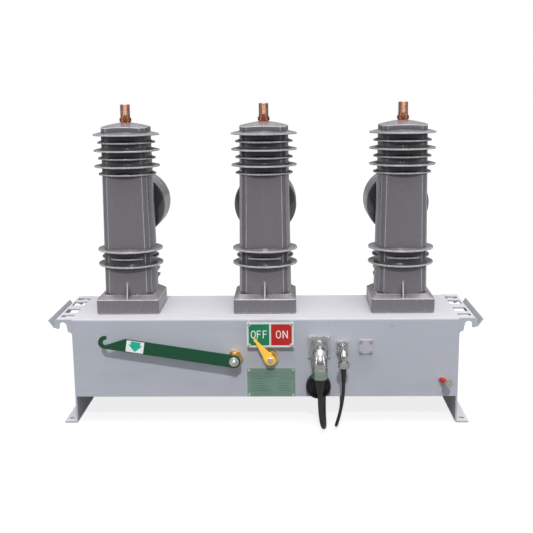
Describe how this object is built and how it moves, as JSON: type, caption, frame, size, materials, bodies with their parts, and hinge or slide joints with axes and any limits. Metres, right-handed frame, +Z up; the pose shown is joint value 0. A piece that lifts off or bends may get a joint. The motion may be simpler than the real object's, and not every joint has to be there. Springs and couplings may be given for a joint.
{
  "type": "outdoor vacuum circuit breaker",
  "caption": "Medium-voltage outdoor vacuum circuit breaker: ribbed resin poles with rear current transformers on a steel tank with magnetic drive, opening handle, pointer and leads",
  "frame": {"origin": "centre of the four foot holes, at the level of the ground", "axes": "+X along the tank to the right as seen from its front, +Y from the front to the rear, +Z up"},
  "size_m": [1.054, 0.5685, 0.776],
  "materials": {
    "tank_paint": "semi-gloss light blue-grey paint",
    "foot_paint": "semi-gloss light blue-grey paint, worn at the edges",
    "epoxy": "glossy moulded epoxy resin",
    "transformer_epoxy": "glossy moulded epoxy resin",
    "copper": "turned copper",
    "ceramic": "glazed alumina",
    "contact_copper": "machined copper",
    "insulator": "moulded polyester resin",
    "zinc_steel": "zinc plated",
    "sign_paint": "printed sign, one green and one red field",
    "nameplate_paint": "printed aluminium, bare of words",
    "pointer_paint": "pale yellow paint",
    "handle_paint": "dark green paint",
    "bush_brass": "turned brass",
    "chrome": "bright plated",
    "socket_metal": "plated die casting",
    "black_rubber": "moulded",
    "cable_sheath": "smooth black sheath",
    "spring_steel": "oiled",
    "mechanism_steel": "machined",
    "red_paint": "red paint on the shank, plated head"
  },
  "bodies": {
    "tank": {"actuator_body": "mechanism_steel", "blank_cover": "socket_metal", "bottom_cover": "tank_paint", "current_transformer_a": "transformer_epoxy", "current_transformer_b": "transformer_epoxy", "current_transformer_c": "transformer_epoxy", "dust_cap": "black_rubber", "earth_bolt": "red_paint", "front_screws": "zinc_steel", "handle_bush": "bush_brass", "handle_spring": "spring_steel", "large_boot": "black_rubber", "large_cable": "cable_sheath", "large_cable_end": "chrome", "large_coil": "cable_sheath", "large_plug": "chrome", "large_socket": "socket_metal", "left_foot": "foot_paint", "left_hanger": "tank_paint", "nameplate": "nameplate_paint", "opening_spring": "spring_steel", "pointer_bush": "bush_brass", "pole_bolts": "zinc_steel", "pole_housing_a": "epoxy", "pole_housing_b": "epoxy", "pole_housing_c": "epoxy", "rear_terminal_a": "copper", "rear_terminal_b": "copper", "rear_terminal_c": "copper", "right_foot": "foot_paint", "right_hanger": "tank_paint", "shaft_brackets": "mechanism_steel", "sign_plate": "sign_paint", "small_boot": "black_rubber", "small_cable": "cable_sheath", "small_cable_end": "chrome", "small_coil": "cable_sheath", "small_plug": "chrome", "small_socket": "socket_metal", "tank_body": "tank_paint", "top_terminal_a": "copper", "top_terminal_b": "copper", "top_terminal_c": "copper", "vacuum_interrupter_a": "ceramic", "vacuum_interrupter_b": "ceramic", "vacuum_interrupter_c": "ceramic"},
    "shaft": {"main_shaft": "mechanism_steel"},
    "armature": {"actuator_armature": "mechanism_steel"},
    "pointer_hand": {"pointer": "pointer_paint", "pointer_screw": "zinc_steel", "pointer_shaft": "mechanism_steel"},
    "handle_lever": {"handle": "handle_paint", "handle_nut": "zinc_steel", "handle_shaft": "mechanism_steel"},
    "pull_a": {"pull_rod_a": "insulator", "moving_contact_a": "contact_copper"},
    "pull_b": {"pull_rod_b": "insulator", "moving_contact_b": "contact_copper"},
    "pull_c": {"pull_rod_c": "insulator", "moving_contact_c": "contact_copper"}
  },
  "joints": [
    {"name": "shaft_turn", "type": "hinge", "parent": "tank", "child": "shaft", "pos_m": [0, -0.0318, 0.169], "axis": [1, 0, 0], "range_deg": [0, 17.97], "stiffness_Nm_per_rad": 10, "springref_deg": -20.05, "deforming": ["opening_spring"]},
    {"name": "armature_slide", "type": "slide", "parent": "tank", "child": "armature", "axis": [0, 0, 1], "range_m": [0, 0.0141]},
    {"name": "pointer_turn", "type": "hinge", "parent": "tank", "child": "pointer_hand", "pos_m": [0.014, -0.125, 0.169], "axis": [0, 1, 0], "range_deg": [0, 74]},
    {"name": "handle_turn", "type": "hinge", "parent": "tank", "child": "handle_lever", "pos_m": [-0.073, -0.125, 0.1685], "axis": [0, 1, 0], "range_deg": [-30, 0], "stiffness_Nm_per_rad": 1.5, "springref_deg": 45.84},
    {"name": "pull_a_slide", "type": "slide", "parent": "tank", "child": "pull_a", "axis": [0, 0, 1], "range_m": [0, 0.01]},
    {"name": "pull_b_slide", "type": "slide", "parent": "tank", "child": "pull_b", "axis": [0, 0, 1], "range_m": [0, 0.01]},
    {"name": "pull_c_slide", "type": "slide", "parent": "tank", "child": "pull_c", "axis": [0, 0, 1], "range_m": [0, 0.01]}
  ],
  "couplings": [
    {"joint": "pull_a_slide", "follows": "shaft_turn", "m_per_rad": 0.031868},
    {"joint": "pull_b_slide", "follows": "shaft_turn", "m_per_rad": 0.031868},
    {"joint": "pull_c_slide", "follows": "shaft_turn", "m_per_rad": 0.031868},
    {"joint": "armature_slide", "follows": "shaft_turn", "m_per_rad": 0.044816},
    {"joint": "pointer_turn", "follows": "shaft_turn", "ratio": 4.116}
  ]
}
